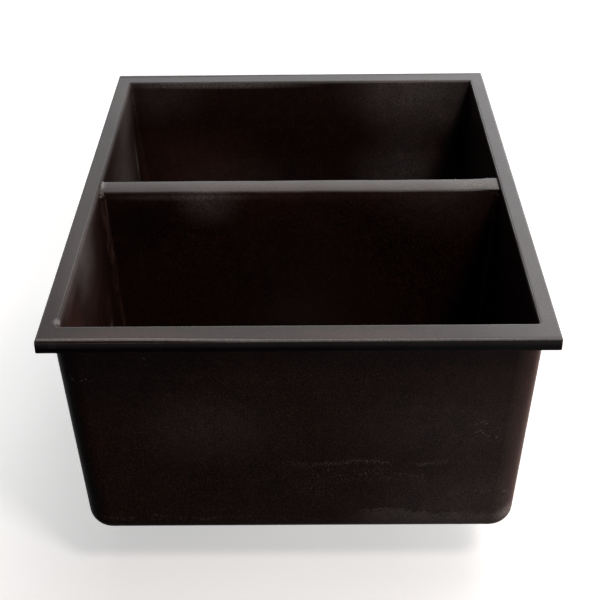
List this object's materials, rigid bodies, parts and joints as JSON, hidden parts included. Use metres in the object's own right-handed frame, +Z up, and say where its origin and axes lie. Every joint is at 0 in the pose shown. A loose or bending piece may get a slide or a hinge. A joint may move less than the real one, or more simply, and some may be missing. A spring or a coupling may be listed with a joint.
{
  "type": "double bowl kitchen sink",
  "caption": "Rectangular drop-in kitchen sink with a flat square-edged rim, two deep equal bowls parted by a low divider, and a lift-out basket strainer in each bowl.",
  "frame": {"origin": "centre of the rim's underside, level with the top of the worktop that it sits on", "axes": "+Z up; +X along the length, from the left bowl to the right bowl; +Y across the width to the back"},
  "size_m": [0.61, 0.457, 0.3095],
  "materials": {
    "tub_resin": "satin moulded resin, black-brown, fine speckle",
    "bond_resin": "cured bonding resin",
    "stainless": "brushed and polished",
    "knob_steel": "polished",
    "spud_brass": "machined",
    "nut_zinc": "cast, plated",
    "seal_putty": "soft grey sealing compound",
    "black_rubber": "moulded",
    "fibre": "pressed fibre"
  },
  "bodies": {
    "sink": {"sink_tub": "tub_resin", "divider_panel": "tub_resin", "divider_bond_left": "bond_resin", "divider_bond_right": "bond_resin", "left_strainer_body": "stainless", "left_outlet_spud": "spud_brass", "left_flange_seal": "seal_putty", "left_drain_gasket": "black_rubber", "left_friction_ring": "fibre", "left_locknut": "nut_zinc", "right_strainer_body": "stainless", "right_outlet_spud": "spud_brass", "right_flange_seal": "seal_putty", "right_drain_gasket": "black_rubber", "right_friction_ring": "fibre", "right_locknut": "nut_zinc"},
    "left_plug": {"left_basket_post": "stainless", "left_basket_knob": "knob_steel", "left_basket_stopper": "black_rubber"},
    "left_basket": {"left_basket_cup": "stainless"},
    "right_plug": {"right_basket_post": "stainless", "right_basket_knob": "knob_steel", "right_basket_stopper": "black_rubber"},
    "right_basket": {"right_basket_cup": "stainless"}
  },
  "joints": [
    {"name": "left_basket_lift", "type": "slide", "parent": "sink", "child": "left_plug", "axis": [0, 0, 1], "range_m": [0, 0.07]},
    {"name": "left_basket_turn", "type": "hinge", "parent": "left_plug", "child": "left_basket", "pos_m": [-0.13971, 0, -0.25], "axis": [0, 0, 1], "continuous": true},
    {"name": "right_basket_lift", "type": "slide", "parent": "sink", "child": "right_plug", "axis": [0, 0, 1], "range_m": [0, 0.07]},
    {"name": "right_basket_turn", "type": "hinge", "parent": "right_plug", "child": "right_basket", "pos_m": [0.13971, 0, -0.25], "axis": [0, 0, 1], "continuous": true}
  ]
}
